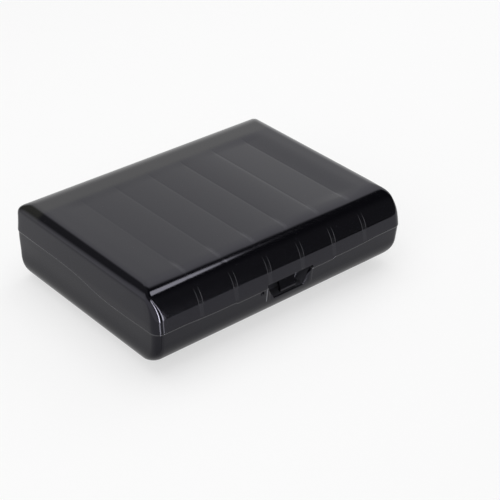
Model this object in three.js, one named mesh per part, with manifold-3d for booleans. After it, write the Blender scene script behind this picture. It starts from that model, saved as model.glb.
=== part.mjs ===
// Hinged organizer case with seven lift-out bins, in millimetres, +Z up.
// The front, with the thumb notch, faces -Y and the hinges are at the back, +Y.
import * as THREE from 'three';
import { mergeVertices } from 'three/addons/utils/BufferGeometryUtils.js';
import Module from 'manifold-3d';

const wasm = await Module();
wasm.setup();
const { Manifold, Mesh } = wasm;

// Driving sizes of the closed case
const caseLength = 160;
const shellDepth = 118;
const caseHeight = 45;
const wall = 2.2;
const cornerRadius = 5;

// Height of the parting line, which steps up from the front to the back along the ends
const frontPartingHeight = 25.3;
const partingRise = 4.3;
const partingStepPlace = -4.6;
const partingStepSpread = 6.8;
const partingGap = 0.3;
const centreDrop = 0.7;
const centreDropReach = 15;

// Quarter-ellipse rounding of each wall into the top of the lid
const lidFrontRoundingDepth = 16;
const lidFrontRoundingHeight = 12.8;
const lidRearRoundingDepth = 10.6;
const lidRearRoundingHeight = 6.9;
const lidEndRoundingDepth = 6.7;
const lidEndRoundingHeight = 5.1;

// Quarter-ellipse rounding of each wall into the underside of the base
const baseFrontRoundingDepth = 26.4;
const baseFrontRoundingHeight = 17.9;
const baseRearRoundingDepth = 7.1;
const baseRearRoundingHeight = 7.3;
const baseEndRoundingDepth = 10.9;
const baseEndRoundingHeight = 14.4;
const partingLand = 1;
const leastRounding = 0.6;

// How far each wall leans in for each millimetre away from the parting line
const lidFrontLeanShare = 0.17;
const lidRearLeanShare = 0.04;
const lidEndLeanShare = 0.1;
const baseFrontLeanShare = 0.09;
const baseRearLeanShare = 0.04;
const baseEndLeanShare = 0.04;

// Lip of the base that stands inside the rim of the lid
const lipInset = 1.2;
const lipHeight = 2;
const lipClearance = 0.3;

// Bays, and the ribs of both shells that stand between the bins
const bayCount = 7;
const bayEndMargin = 5.8;
const ribThickness = 1.2;
const lidRibDepth = 5;
const lidRibRearMargin = 14;
const lidRibRimMargin = 3;
const baseRibDepth = 3;
const baseRibHeight = 9;
const fuseDepth = 0.3;

// Lift-out bins
const binClearance = 0.4;
const binWall = 1.4;
const binTopGap = 6;
const grooveDepth = 0.6;

// Slide-in dividers
const dividersPerBin = 3;
const dividerThickness = 1;
const dividerClearance = 0.3;
const dividerTopDrop = 0.8;
const dividerScoopWidth = 9;
const dividerScoopDepth = 2.2;

// Thumb notch in the front of the base
const notchWidth = 30.4;
const notchHeight = 9;
const notchDepth = 6.6;
const notchFloorWidth = 21;
const notchFloorHeight = 6.4;
const notchBacking = 1.6;

// Snap tongue of the lid, which hangs in the notch, and the ridge behind it
const tongueWidth = 10;
const tongueThickness = 1.5;
const tongueDrop = 5.6;
const tongueSetback = 4.3;
const tongueRoot = 4;
const barbDepth = 0.3;
const barbHeight = 1.4;
const ridgeDepth = 0.3;
const ridgeHeight = 1;
const ridgeDrop = 2.6;

// Hinges: ears on the base, a knuckle on the lid and a pin through them
const hingeEndMargin = 37.5;
const barrelRadius = 1.7;
const barrelStandOff = 0.3;
const barrelClearance = 0.3;
const knuckleWidth = 14;
const earWidth = 6;
const hingeSideGap = 0.4;
const heelHeight = 1.3;
const lugReach = 4.5;
const lugRoot = 1.2;
const pinRadius = 0.7;
const pinClearance = 0.2;

// Fineness of the curved faces, as numbers of steps
const roundingSteps = 7;
const cornerSteps = 4;
const partingSteps = 24;
const barrelSteps = 20;
const pinSteps = 14;
const scoopSteps = 8;

// One overrun for all cuts
const overrun = 8;

// Corners closer than this are one corner
const mergeTolerance = 1e-5;

const rearPartingHeight = frontPartingHeight + partingRise;
const bayPitch = (caseLength - 2 * bayEndMargin) / bayCount;
const hingeSpacing = caseLength - 2 * hingeEndMargin;
const hingeY = shellDepth / 2 + barrelStandOff;
const hingeZ = rearPartingHeight + partingGap / 2;
const hingeReach = barrelStandOff + barrelRadius;
const hingeZoneWidth = knuckleWidth + 2 * (earWidth + hingeSideGap);
const cutLength = caseLength + 2 * overrun;

// Materials
const blackPlastic = { color: 0x0c0c0e, roughness: 0.12, metalness: 0 };
const binPlastic = { color: 0xd9dcd8, roughness: 0.45, metalness: 0 };
const dividerPlastic = { color: 0xc9ced0, roughness: 0.4, metalness: 0 };
const pinSteel = { color: 0x9a9da1, roughness: 0.3, metalness: 1 };

// Geometry helpers

function toSolid(geometry) {
  const bare = geometry.clone();
  bare.deleteAttribute('normal');
  bare.deleteAttribute('uv');
  const merged = mergeVertices(bare, mergeTolerance);
  return new Manifold(new Mesh({
    numProp: 3,
    vertProperties: new Float32Array(merged.attributes.position.array),
    triVerts: new Uint32Array(merged.index.array),
  }));
}

function toGeometry(solid) {
  const mesh = solid.getMesh();
  const geometry = new THREE.BufferGeometry();
  geometry.setAttribute('position', new THREE.BufferAttribute(mesh.vertProperties, 3));
  geometry.setIndex(new THREE.BufferAttribute(mesh.triVerts, 1));
  const flat = geometry.toNonIndexed();
  flat.computeVertexNormals();
  return flat;
}

// A box from its low corner to its high corner.
function boxSolid(low, high) {
  const size = high.map((value, axis) => value - low[axis]);
  const geometry = new THREE.BoxGeometry(size[0], size[1], size[2]);
  geometry.translate((low[0] + high[0]) / 2, (low[1] + high[1]) / 2, (low[2] + high[2]) / 2);
  return toSolid(geometry);
}

// A slab that spans the whole case in Y and Z, between two places along X.
function slab(lowX, highX) {
  return boxSolid([lowX, -shellDepth, -caseHeight], [highX, shellDepth, 2 * caseHeight]);
}

// An outline in the Y-Z plane, extruded along X between two places.
function sideExtrusion(points, lowX, highX) {
  const shape = new THREE.Shape(points.map(([y, z]) => new THREE.Vector2(y, z)));
  const geometry = new THREE.ExtrudeGeometry(shape, { depth: highX - lowX, bevelEnabled: false });
  // Sends the drawing's x, y and depth to Y, Z and X.
  const turn = new THREE.Matrix4().set(0, 0, 1, lowX, 1, 0, 0, 0, 0, 1, 0, 0, 0, 0, 0, 1);
  geometry.applyMatrix4(turn);
  return toSolid(geometry);
}

// A round bar along X, between two places.
function bar(radius, steps, y, z, lowX, highX) {
  const geometry = new THREE.CylinderGeometry(radius, radius, highX - lowX, steps);
  geometry.rotateZ(Math.PI / 2);
  geometry.translate((lowX + highX) / 2, y, z);
  return toSolid(geometry);
}

function joinAll(solids) {
  return solids.reduce((sum, solid) => sum.add(solid));
}

// The outer form of the case

const walls = {
  front: {
    span: shellDepth,
    lidLeanStart: frontPartingHeight,
    lidLeanShare: lidFrontLeanShare,
    baseLeanShare: baseFrontLeanShare,
    lidRounding: [lidFrontRoundingDepth, lidFrontRoundingHeight],
    baseRounding: [baseFrontRoundingDepth, baseFrontRoundingHeight],
  },
  rear: {
    span: shellDepth,
    lidLeanStart: rearPartingHeight,
    lidLeanShare: lidRearLeanShare,
    baseLeanShare: baseRearLeanShare,
    lidRounding: [lidRearRoundingDepth, lidRearRoundingHeight],
    baseRounding: [baseRearRoundingDepth, baseRearRoundingHeight],
  },
  end: {
    span: caseLength,
    lidLeanStart: rearPartingHeight,
    lidLeanShare: lidEndLeanShare,
    baseLeanShare: baseEndLeanShare,
    lidRounding: [lidEndRoundingDepth, lidEndRoundingHeight],
    baseRounding: [baseEndRoundingDepth, baseEndRoundingHeight],
  },
};

// The depth and height of a rounding after it is drawn in, held within its own shell.
function drawnIn([depth, height], inset, shellHeight) {
  const limited = Math.min(height, shellHeight - partingLand);
  return [Math.max(depth - inset, leastRounding), Math.max(limited - inset, leastRounding)];
}

function lidRoundingOf(side, inset) {
  return drawnIn(side.lidRounding, inset, caseHeight - rearPartingHeight);
}

function baseRoundingOf(side, inset) {
  return drawnIn(side.baseRounding, inset, frontPartingHeight);
}

// How far a quarter ellipse has curved in at a distance from its flat end.
function curveIn([depth, height], distance) {
  const share = Math.min(Math.max(1 - distance / height, 0), 1);
  return depth * (1 - Math.sqrt(1 - share * share));
}

// The distance of a wall's face from the middle of the case at a height.
function wallReachAt(side, z, inset) {
  return side.span / 2 - inset
    - side.lidLeanShare * Math.max(0, z - side.lidLeanStart)
    - side.baseLeanShare * Math.max(0, frontPartingHeight - z)
    - curveIn(lidRoundingOf(side, inset), caseHeight - inset - z)
    - curveIn(baseRoundingOf(side, inset), z - inset);
}

// The heights at which the form has a ring: closer together near the top and the underside.
function ringHeights(inset) {
  const sides = Object.values(walls);
  const baseReach = Math.max(...sides.map((side) => baseRoundingOf(side, inset)[1]));
  const lidReach = Math.max(...sides.map((side) => lidRoundingOf(side, inset)[1]));
  const spacing = Array.from({ length: roundingSteps + 1 }, (unused, step) => (
    1 - Math.cos((step / roundingSteps) * (Math.PI / 2))
  ));
  const low = spacing.map((share) => inset + baseReach * share);
  const high = spacing.map((share) => caseHeight - inset - lidReach * share).reverse();
  return [...low, frontPartingHeight, rearPartingHeight, ...high];
}

// A rounded rectangle round the case at a height, anticlockwise seen from above.
function planRing(z, inset) {
  const radius = Math.max(cornerRadius - inset, leastRounding);
  const half = wallReachAt(walls.end, z, inset) - radius;
  const front = wallReachAt(walls.front, z, inset) - radius;
  const rear = wallReachAt(walls.rear, z, inset) - radius;
  const centres = [[half, rear], [-half, rear], [-half, -front], [half, -front]];
  const ring = [];
  centres.forEach(([x, y], quarter) => {
    for (let step = 0; step <= cornerSteps; step += 1) {
      const angle = (quarter + step / cornerSteps) * (Math.PI / 2);
      ring.push([x + radius * Math.cos(angle), y + radius * Math.sin(angle), z]);
    }
  });
  return ring;
}

// The outer form of the whole case, drawn in by an inset.
function caseForm(inset) {
  const rings = ringHeights(inset).map((z) => planRing(z, inset));
  const count = rings[0].length;
  const indices = [];
  for (let ring = 0; ring < rings.length - 1; ring += 1) {
    for (let point = 0; point < count; point += 1) {
      const next = (point + 1) % count;
      const a = ring * count + point;
      const b = ring * count + next;
      const c = (ring + 1) * count + next;
      const d = (ring + 1) * count + point;
      indices.push(a, b, c, a, c, d);
    }
  }
  const last = (rings.length - 1) * count;
  for (let point = 1; point < count - 1; point += 1) {
    indices.push(0, point + 1, point);
    indices.push(last, last + point, last + point + 1);
  }
  const geometry = new THREE.BufferGeometry();
  geometry.setAttribute('position', new THREE.Float32BufferAttribute(rings.flat(2), 3));
  geometry.setIndex(indices);
  return toSolid(geometry);
}

// The parting surface

function partingHeightAt(y) {
  const share = 1 / (1 + Math.exp(-(y - partingStepPlace) / partingStepSpread));
  return frontPartingHeight + partingRise * share;
}

// Everything above the parting surface, raised by an offset.
function abovePartingSurface(offset) {
  const reach = shellDepth / 2 + overrun;
  const points = [];
  for (let step = 0; step <= partingSteps; step += 1) {
    const y = -reach + (2 * reach * step) / partingSteps;
    points.push([y, partingHeightAt(y) + offset]);
  }
  points.push([reach, caseHeight + overrun], [-reach, caseHeight + overrun]);
  const halfDrop = 1.5 * bayPitch;
  const centre = boxSolid(
    [-halfDrop, -reach, frontPartingHeight - centreDrop + offset],
    [halfDrop, centreDropReach - shellDepth / 2, caseHeight],
  );
  return sideExtrusion(points, -cutLength / 2, cutLength / 2).add(centre);
}

// The thumb notch and its backing wall

const frontY = -shellDepth / 2;

// A block between an outer rectangle and an inner one, both facing the front.
function taperedBlock(outer, inner) {
  const corners = [];
  for (const face of [outer, inner]) {
    corners.push([-face.lowHalf, face.y, face.low], [face.lowHalf, face.y, face.low]);
    corners.push([face.topHalf, face.y, face.top], [-face.topHalf, face.y, face.top]);
  }
  const geometry = new THREE.BufferGeometry();
  geometry.setAttribute('position', new THREE.Float32BufferAttribute(corners.flat(), 3));
  geometry.setIndex([0, 1, 2, 0, 2, 3, 4, 6, 5, 4, 7, 6, 0, 4, 5, 0, 5, 1,
    1, 5, 6, 1, 6, 2, 2, 6, 7, 2, 7, 3, 3, 7, 4, 3, 4, 0]);
  return toSolid(geometry);
}

// The notch, grown on every side but the front. Its sides slope in towards the floor.
function notchForm(growth) {
  const top = caseHeight + overrun;
  const depthShare = overrun / notchDepth;
  const flare = (notchWidth - notchFloorWidth) / 2;
  const outer = {
    y: frontY - overrun,
    lowHalf: notchWidth / 2 + growth + flare * depthShare,
    topHalf: notchWidth / 2 + growth,
    low: frontPartingHeight - notchHeight - growth - (notchHeight - notchFloorHeight) * depthShare,
    top,
  };
  const inner = {
    y: frontY + notchDepth + growth,
    lowHalf: notchFloorWidth / 2 + growth,
    topHalf: notchWidth / 2 + growth,
    low: frontPartingHeight - notchFloorHeight - growth,
    top,
  };
  return taperedBlock(outer, inner);
}

// The wall that closes the notch off from the bins.
function notchBackingForm() {
  return notchForm(notchBacking).subtract(abovePartingSurface(0));
}

// The hinges

// The two places along X where a hinge is centred.
const hingePlaces = [-hingeSpacing / 2, hingeSpacing / 2];

// A barrel round the pin with a lug that runs into the wall, above it or below it.
function hingeLeaf(lowX, highX, up) {
  const points = [
    [barrelRadius, 0],
    [barrelRadius, heelHeight],
    [-barrelStandOff, lugReach],
    [-barrelStandOff - lugRoot, lugReach],
    [-barrelStandOff - lugRoot, partingGap],
    [-barrelStandOff, 0],
  ];
  const placed = points.map(([y, z]) => [hingeY + y, hingeZ + up * z]);
  const lug = sideExtrusion(up > 0 ? placed : placed.reverse(), lowX, highX);
  return lug.add(bar(barrelRadius, barrelSteps, hingeY, hingeZ, lowX, highX));
}

// The room that a turning barrel needs in the wall beside it.
function barrelRoom(lowX, highX) {
  const radius = barrelRadius + barrelClearance;
  return bar(radius, barrelSteps, hingeY, hingeZ, lowX - hingeSideGap, highX + hingeSideGap);
}

function pinHole(centreX) {
  const half = hingeZoneWidth / 2 + overrun;
  return bar(pinRadius + pinClearance, pinSteps, hingeY, hingeZ, centreX - half, centreX + half);
}

// The stretches along X of one hinge: ear, knuckle, ear.
function hingeStretches(centreX) {
  const inner = knuckleWidth / 2;
  const outer = hingeZoneWidth / 2;
  return {
    knuckle: [centreX - inner, centreX + inner],
    ears: [[centreX - outer, centreX - outer + earWidth], [centreX + outer - earWidth, centreX + outer]],
  };
}

// The lip is left out along each hinge and behind the thumb notch.
function lipBreaks() {
  const reach = wall + overrun;
  const half = hingeZoneWidth / 2 + hingeSideGap;
  const atHinge = hingePlaces.map((x) => boxSolid(
    [x - half, shellDepth / 2 - reach, 0],
    [x + half, shellDepth / 2 + reach, caseHeight],
  ));
  const notchHalf = notchWidth / 2 + notchBacking + lipClearance;
  const atNotch = boxSolid([-notchHalf, frontY - reach, 0], [notchHalf, frontY + reach, caseHeight]);
  return joinAll([...atHinge, atNotch]);
}

// Ribs between the bays

const ribPlaces = Array.from({ length: bayCount - 1 }, (unused, index) => (
  (index - (bayCount - 2) / 2) * bayPitch
));

function ribSlabs() {
  return joinAll(ribPlaces.map((x) => slab(x - ribThickness / 2, x + ribThickness / 2)));
}

function lidRibs() {
  const skin = caseForm(wall - fuseDepth).subtract(caseForm(wall + lidRibDepth));
  const rear = boxSolid(
    [-cutLength, shellDepth / 2 - lidRibRearMargin, 0],
    [cutLength, shellDepth, caseHeight + overrun],
  );
  return skin.intersect(ribSlabs()).intersect(abovePartingSurface(lidRibRimMargin)).subtract(rear);
}

function baseRibs() {
  const skin = caseForm(wall - fuseDepth).subtract(caseForm(wall + baseRibDepth));
  const above = boxSolid([-cutLength, -shellDepth, baseRibHeight], [cutLength, shellDepth, caseHeight]);
  return skin.intersect(ribSlabs()).subtract(above);
}

// The two shells

function makeBaseShell() {
  const outside = caseForm(0).subtract(abovePartingSurface(0));
  const lip = caseForm(lipInset).subtract(abovePartingSurface(lipHeight)).subtract(lipBreaks());
  let shell = outside.add(lip).subtract(caseForm(wall));
  shell = shell.add(baseRibs());
  shell = shell.add(notchBackingForm().intersect(caseForm(wall - fuseDepth)));
  shell = shell.subtract(notchForm(0));
  shell = shell.add(snapRidge());
  for (const centreX of hingePlaces) {
    const { knuckle, ears } = hingeStretches(centreX);
    for (const [lowX, highX] of ears) {
      shell = shell.add(hingeLeaf(lowX, highX, -1));
    }
    shell = shell.subtract(barrelRoom(knuckle[0], knuckle[1])).subtract(pinHole(centreX));
  }
  return shell;
}

// A small ridge on the notch's backing wall that the barb of the tongue snaps past.
function snapRidge() {
  const backY = frontY + notchDepth;
  const z = frontPartingHeight - ridgeDrop;
  const points = [
    [backY + fuseDepth, z - ridgeHeight / 2],
    [backY + fuseDepth, z + ridgeHeight / 2],
    [backY, z + ridgeHeight / 2],
    [backY - ridgeDepth, z],
    [backY, z - ridgeHeight / 2],
  ];
  return sideExtrusion(points, -tongueWidth / 2, tongueWidth / 2);
}

// The tongue of the lid with its barb at the back of its lower end.
function snapTongue() {
  const face = frontY + tongueSetback;
  const back = face + tongueThickness;
  const low = frontPartingHeight - tongueDrop;
  const root = frontPartingHeight + tongueRoot;
  const points = [
    [face, low],
    [back, low],
    [back + barbDepth, low + barbHeight / 2],
    [back, low + barbHeight],
    [back, root],
    [frontY + wall - fuseDepth, root + tongueRoot],
    [frontY + wall - fuseDepth, root],
    [face, root - tongueRoot / 2],
  ];
  return sideExtrusion(points, -tongueWidth / 2, tongueWidth / 2);
}

function makeLidShell() {
  const rebate = caseForm(lipInset - lipClearance)
    .subtract(abovePartingSurface(lipHeight + lipClearance))
    .subtract(lipBreaks());
  let shell = caseForm(0).intersect(abovePartingSurface(partingGap));
  shell = shell.subtract(caseForm(wall)).subtract(rebate);
  shell = shell.add(lidRibs()).add(snapTongue());
  for (const centreX of hingePlaces) {
    const { knuckle, ears } = hingeStretches(centreX);
    shell = shell.add(hingeLeaf(knuckle[0], knuckle[1], 1));
    for (const [lowX, highX] of ears) {
      shell = shell.subtract(barrelRoom(lowX, highX));
    }
    shell = shell.subtract(pinHole(centreX));
  }
  return shell;
}

function makeHingePin(centreX) {
  const half = hingeZoneWidth / 2;
  return bar(pinRadius, pinSteps, hingeY, hingeZ, centreX - half, centreX + half);
}

// Bins and dividers

const binInset = wall + binClearance;
const binTop = caseHeight - binTopGap;
const binWidth = bayPitch - ribThickness - 2 * binClearance;
const binInnerWidth = binWidth - 2 * binWall;
const binFloor = binInset + binWall;
const grooveInset = binFloor - grooveDepth;
const binInnerLength = shellDepth - 2 * binFloor;

function binCentre(index) {
  return (index - (bayCount - 1) / 2) * bayPitch;
}

function dividerPlace(index) {
  return -binInnerLength / 2 + (binInnerLength * (index + 1)) / (dividersPerBin + 1);
}

// The bins are trimmed to one height, and stay clear of the notch's backing wall and the tongue.
// Their walls and grooves follow the rounding of the base.
function makeBin(centreX) {
  const above = boxSolid([-cutLength, -shellDepth, binTop], [cutLength, shellDepth, caseHeight + overrun]);
  const half = binWidth / 2;
  const innerHalf = binInnerWidth / 2;
  const outside = caseForm(binInset)
    .intersect(slab(centreX - half, centreX + half))
    .subtract(notchForm(notchBacking + binClearance));
  const inside = caseForm(binFloor)
    .intersect(slab(centreX - innerHalf, centreX + innerHalf))
    .subtract(notchForm(notchBacking + binClearance + binWall));
  let bin = outside.subtract(inside).subtract(above);
  const grooveHalf = dividerThickness / 2 + dividerClearance;
  const grooveLimit = caseForm(grooveInset);
  for (let index = 0; index < dividersPerBin; index += 1) {
    const y = dividerPlace(index);
    const groove = boxSolid(
      [centreX - innerHalf - grooveDepth, y - grooveHalf, binFloor],
      [centreX + innerHalf + grooveDepth, y + grooveHalf, caseHeight],
    );
    bin = bin.subtract(groove.intersect(grooveLimit));
  }
  return bin;
}

// A plate with a shallow scoop in its top edge, standing in the grooves of a bin and clear of them.
function makeDivider(centreX, y) {
  const half = binInnerWidth / 2 + grooveDepth - dividerClearance;
  const low = binFloor + dividerClearance;
  const top = binTop - dividerTopDrop;
  const shape = new THREE.Shape();
  shape.moveTo(-half, low);
  shape.lineTo(half, low);
  shape.lineTo(half, top);
  for (let step = 0; step <= scoopSteps; step += 1) {
    const angle = Math.PI * (step / scoopSteps);
    const x = (dividerScoopWidth / 2) * Math.cos(angle);
    shape.lineTo(x, top - dividerScoopDepth * Math.sin(angle));
  }
  shape.lineTo(-half, top);
  const geometry = new THREE.ExtrudeGeometry(shape, { depth: dividerThickness, bevelEnabled: false });
  geometry.rotateX(Math.PI / 2);
  geometry.translate(centreX, y + dividerThickness / 2, 0);
  return toSolid(geometry).intersect(caseForm(grooveInset + dividerClearance));
}

// The assembly

function addPiece(group, name, solid, look) {
  const mesh = new THREE.Mesh(toGeometry(solid), new THREE.MeshStandardMaterial(look));
  mesh.name = name;
  group.add(mesh);
}

const organizer = new THREE.Group();
// The origin is under the middle of the whole case, hinge barrels included.
organizer.position.y = -hingeReach / 2;

addPiece(organizer, 'base_shell', makeBaseShell(), blackPlastic);
addPiece(organizer, 'lid_shell', makeLidShell(), blackPlastic);
addPiece(organizer, 'hinge_pin_left', makeHingePin(hingePlaces[0]), pinSteel);
addPiece(organizer, 'hinge_pin_right', makeHingePin(hingePlaces[1]), pinSteel);
for (let bay = 0; bay < bayCount; bay += 1) {
  const centreX = binCentre(bay);
  addPiece(organizer, `bin_${bay + 1}`, makeBin(centreX), binPlastic);
  for (let index = 0; index < dividersPerBin; index += 1) {
    const divider = makeDivider(centreX, dividerPlace(index));
    addPiece(organizer, `divider_${bay + 1}_${index + 1}`, divider, dividerPlastic);
  }
}

export default organizer;
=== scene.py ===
import math

import bmesh
import bpy
import numpy as np
from bpy.props import FloatProperty, FloatVectorProperty, IntProperty, PointerProperty
from mathutils import Matrix, Vector


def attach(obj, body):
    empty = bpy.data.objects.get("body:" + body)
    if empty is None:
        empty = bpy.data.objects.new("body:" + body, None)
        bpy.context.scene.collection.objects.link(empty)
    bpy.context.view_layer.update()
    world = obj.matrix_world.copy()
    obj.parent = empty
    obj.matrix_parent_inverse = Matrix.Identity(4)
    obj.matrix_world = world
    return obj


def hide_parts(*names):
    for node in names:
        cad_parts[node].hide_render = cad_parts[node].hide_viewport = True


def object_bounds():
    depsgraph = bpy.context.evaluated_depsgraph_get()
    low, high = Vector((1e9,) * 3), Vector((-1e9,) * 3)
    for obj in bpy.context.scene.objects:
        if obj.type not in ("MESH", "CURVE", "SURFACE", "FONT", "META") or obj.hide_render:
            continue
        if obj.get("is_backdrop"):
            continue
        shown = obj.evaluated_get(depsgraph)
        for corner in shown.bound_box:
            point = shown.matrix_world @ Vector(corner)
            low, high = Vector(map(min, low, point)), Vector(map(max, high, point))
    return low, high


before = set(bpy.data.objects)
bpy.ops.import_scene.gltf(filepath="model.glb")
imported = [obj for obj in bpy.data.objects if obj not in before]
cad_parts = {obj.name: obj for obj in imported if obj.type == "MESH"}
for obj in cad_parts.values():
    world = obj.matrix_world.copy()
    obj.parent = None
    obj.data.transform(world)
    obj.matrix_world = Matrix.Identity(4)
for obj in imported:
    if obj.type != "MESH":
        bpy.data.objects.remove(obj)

bl_info = {
    "name": "Bin organizer case",
    "version": (1, 0, 0),
    "blender": (4, 5, 0),
    "location": "3D View > Sidebar > Organizer",
    "description": "A hinged gloss black case with seven lift-out bins and slide-in dividers",
    "category": "Add Mesh",
}

CAD_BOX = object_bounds()
MM = 0.001
# The origin is under the middle of the case with its hinge barrels, which stand 2 mm out behind it.
BARREL_SHIFT = -1.0

# Shape of the shells, in millimetres, as the frame has them.
# Each wall has its leans above and below the parting line, then depth and height of the lid's and the base's rounding.
FRONT_FORM = ((0.17, 0.09), (16, 12.8), (26.4, 17.9))
REAR_FORM = ((0.04, 0.04), (10.6, 6.9), (7.1, 7.3))
END_FORM = ((0.1, 0.04), (6.7, 5.1), (10.9, 14.4))
PARTING_RISE = 4.3
STEP_PLACE = -4.6
STEP_SPREAD = 6.8
PARTING_GAP = 0.06
CENTRE_DROP = 0.7
CENTRE_DROP_HALF = 31.8
CENTRE_DROP_BLEND = 0.7
CENTRE_DROP_END = (-48, -40)
CLIMB = 0.9
CLIMB_START = 36
CLIMB_LENGTH = 26
CLIMB_END = (-56, -20)
LEAST_ROUNDING = 0.6
LEAN_SPREAD = 0.8
LIP_INSET = 1.2
LIP_HEIGHT = 2.0
LIP_CLEARANCE = 0.3
LID_EDGE = 0.15
BASE_EDGE = 0.1
RIM_BEAD = 0.36
CORNER_TAPER = 3.5
FUSE = 0.3

# Bays and ribs
BAYS = 7
BAY_PITCH = 21.2
RIB_PLACES = [(k - 2.5) * BAY_PITCH for k in range(BAYS - 1)]
RIB_WIDTH = 1.2
LID_RIB_DEPTH = 5.0
LID_RIB_REAR_MARGIN = 14.0
LID_RIB_RIM_MARGIN = 3.0
BASE_RIB_DEPTH = 3.0
BASE_RIB_HEIGHT = 9.0

# Panels of the lid between its ribs: how strongly each one bulges, and how far the right-hand end one tilts
PANEL_SHARES = (0, 0.9, 0.9, 1.0, 1.25, 0.4, 0)
END_PANEL_TILT = 0.6
END_PANEL_START = 30
END_PANEL_LIMIT = 67.0
END_PANEL_EASE = 1.25
BULGE_START = (-47, -39)
FIELD_START = (-47, -34)
FIELD_END = (33, 41)
RELIEF_LOW = 1.2
RELIEF_FULL = 7
FRONT_SHARE = 0.64
SINK_GROOVE = (0.03, 0.55)
SINK_SHOULDER = (0.02, 1.3)

# Thumb notch, snap tongue and ridge
NOTCH_HALF = 15.2
NOTCH_HEIGHT = 9.0
NOTCH_DEPTH = 6.6
NOTCH_FLOOR_HALF = 12.2
NOTCH_FLOOR_HEIGHT = 6.4
NOTCH_BACKING = 1.6
NOTCH_PLACE = 2.4
NOTCH_BLEND = 0.4
NOTCH_FLOOR_BLEND = 1.2
NOTCH_BACK_BLEND = 0.9
RECESS_HALF = 14.7
RECESS_TOP = 1.25
RECESS_LOW = 1.1
RECESS_LIP = 2.2
RECESS_FALL = 8.3
POCKET_TOP_HALF = 14.4
POCKET_START = 0.7
POCKET_FLOOR_HALF = 9.6
POCKET_FALL = 9.0
POCKET_FLARE = 0.35
POCKET_CLIMB = 0.3
LIFT_HALF = 14.7
LIFT_HEIGHT = 1.6
TONGUE_HALF = 5.0
TONGUE_FACE = -57.2
TONGUE_LEAN = 0.385
TONGUE_THICKNESS = 1.3
TONGUE_DROP = 7.6
TONGUE_SLOPE_HEIGHT = 8.3
TONGUE_FOOT = 1.1
TONGUE_ROOT = 4.0
PIT_PLACE = (-15.4, 22.4)
PIT_HALF = (1.15, 1.9)
RIDGE_DROP = 2.6

# Hinges
HINGE_PLACES = (-42.5, 42.5)
HINGE_Y = 59.3
HINGE_Z = 29.75
BARREL_RADIUS = 1.7
BARREL_CLEARANCE = 0.3
KNUCKLE_HALF = 7.0
ZONE_HALF = 13.4
EAR_WIDTH = 6.0
SIDE_GAP = 0.4
KNUCKLES = ((-KNUCKLE_HALF, KNUCKLE_HALF),)
EARS = ((-ZONE_HALF, EAR_WIDTH - ZONE_HALF), (ZONE_HALF - EAR_WIDTH, ZONE_HALF))
PIN_RADIUS = 0.7
PIN_CLEARANCE = 0.2

# Bins and dividers
BIN_INSET = 2.6
BIN_WALL = 1.4
BIN_HALF = 9.6
BIN_TOP = 39.0
BIN_NOTCH_GAP = 0.4
GROOVE_DEPTH = 0.6
GROOVE_HALF = 0.8
DIVIDER_PLACES = (-27.5, 0.0, 27.5)
DIVIDER_HALF = 8.5
DIVIDER_TOP = 38.2
DIVIDER_LOW = 4.3
DIVIDER_THICKNESS = 1.0

# Shading
SHARP_ANGLE = 35.0

# Finish of the shells and the light painted on them: colours, then where each mark rises and fades, in metres,
# or in millimetres from the middle of a rib or of the notch
REAR_PAINTED_LIGHT_COLOUR = (0.013, 0.013, 0.0102, 1)
POCKET_PAINTED_LIGHT_COLOUR = (0.045, 0.045, 0.052, 1)
PAINTED_HIGHLIGHT_COLOUR = (0.2, 0.2, 0.215, 1)
DUST_COLOUR = (0.16, 0.155, 0.15, 1)
SHELL_IOR = 1.42
SHELL_TINT = (0.85, 0.835, 1.0, 1.0)
RIBBED_HALF = (0.056, 0.058)
REAR_BAND_PLACES = (0.0365, 0.0405)
REAR_BAND_HEIGHTS = (0.040, 0.0435)
NARROW_HALF = (13.8, 14.6)
FRONT_PLACES = (-0.0520, -0.0500)
LINE_GAPS = (0.95, 1.2, 1.3, 1.55)
LINE_HEIGHTS = (0.0315, 0.0335, 0.0365, 0.0405)
LINE_SHARES = (0.10, 0.36)
STREAK_GAPS = (0.9, 1.5)
STREAK_HEIGHTS = (0.0258, 0.0266, 0.033, 0.037)
STREAK_SHARE = 0.05
CREST_GAPS = (0.7, 1.6)
CREST_PLACES = (-0.0475, -0.0450, -0.0400, -0.0340)
CREST_HEIGHTS = (0.0435, 0.0442)
CREST_SHARE = 0.07
LIP_EDGES = (-0.35, -0.1, 0.25, 0.5)
LIP_HEIGHTS = (0.0160, 0.0175, 0.0245, 0.0262)
LIP_PLACES = (-0.0575, -0.0570)
LIP_SIDES = (-0.005, 0.005, 1.0, 0.15)
RIM_HIGHLIGHT_BAND = (-0.12, 0.02, 0.4, 0.65)
POCKET_HEIGHTS = (0.0156, 0.0162, 0.0262, 0.0268)
POCKET_FRONT = (-0.0585, -0.0575)
POCKET_BACK = (-0.0510, -0.0500)
TONGUE_SHIFT = 0.0026
TONGUE_HEIGHTS = (0.0172, 0.0176)

# The camera
CAMERA_TARGET_HEIGHT = 22.5
CAMERA_DISTANCE = 731.64
CAMERA_OFFSET = (20.317, -7.988)

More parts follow.
